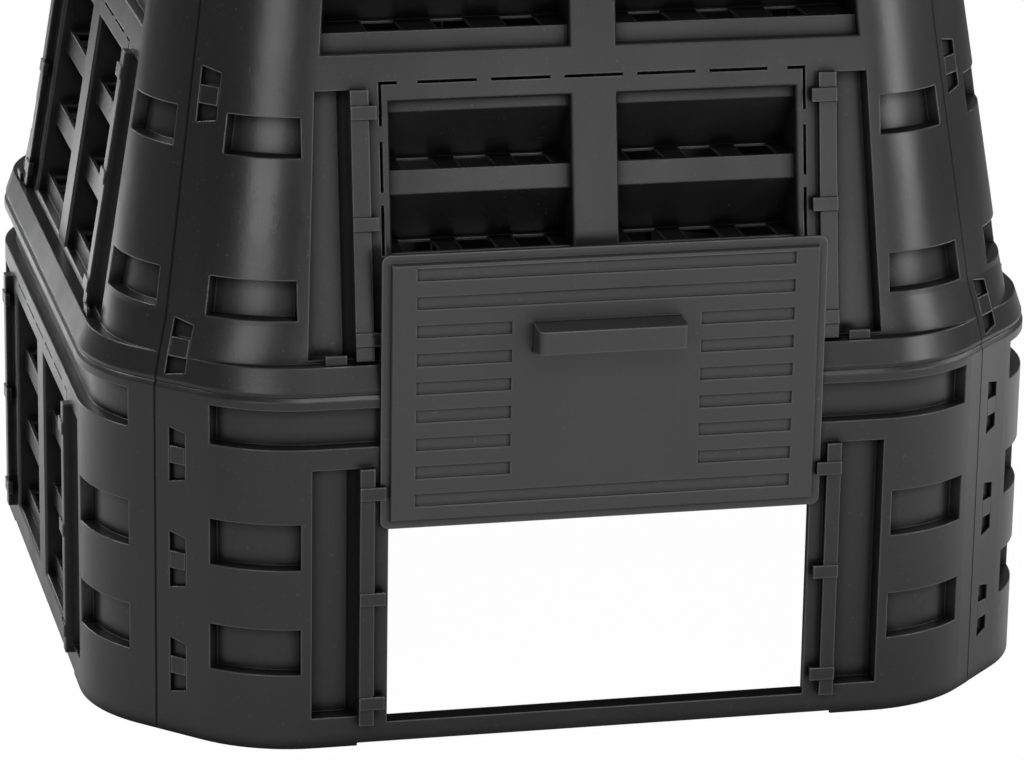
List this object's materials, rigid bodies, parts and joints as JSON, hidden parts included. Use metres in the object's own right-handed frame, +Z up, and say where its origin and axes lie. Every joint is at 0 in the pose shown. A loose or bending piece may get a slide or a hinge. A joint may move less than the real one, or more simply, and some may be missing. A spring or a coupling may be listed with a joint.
{
  "type": "compost bin",
  "caption": "tapered plastic compost bin of hooked-together vented panels in two tiers, with a sliding lower door and a hinged lid",
  "frame": {"origin": "on the ground, in the middle of the whole footprint, grip and hooks included", "axes": "+Z up, the door side faces -Y, +X is to the right of someone who looks at the door"},
  "size_m": [0.939, 0.9686, 1.13],
  "materials": {
    "ring_panel": "satin black moulding",
    "body_panel": "satin black moulding",
    "door": "satin black moulding",
    "lid": "satin black moulding",
    "hinge_pin": "satin black moulding"
  },
  "bodies": {
    "bin": {"ring_panel_front": "ring_panel", "ring_panel_right": "ring_panel", "ring_panel_back": "ring_panel", "ring_panel_left": "ring_panel", "body_panel_front": "body_panel", "body_panel_right": "body_panel", "body_panel_back": "body_panel", "body_panel_left": "body_panel", "lid_hinge_pin_left": "hinge_pin", "lid_hinge_pin_right": "hinge_pin"},
    "door": {"door": "door"},
    "lid": {"lid": "lid"}
  },
  "joints": [
    {"name": "door_slide", "type": "slide", "parent": "bin", "child": "door", "axis": [0, 0, 1], "range_m": [-0.19, 0.035]},
    {"name": "lid_hinge", "type": "hinge", "parent": "bin", "child": "lid", "pos_m": [0, 0.36682, 1.06], "axis": [-1, 0, 0], "range_deg": [0, 105]}
  ]
}
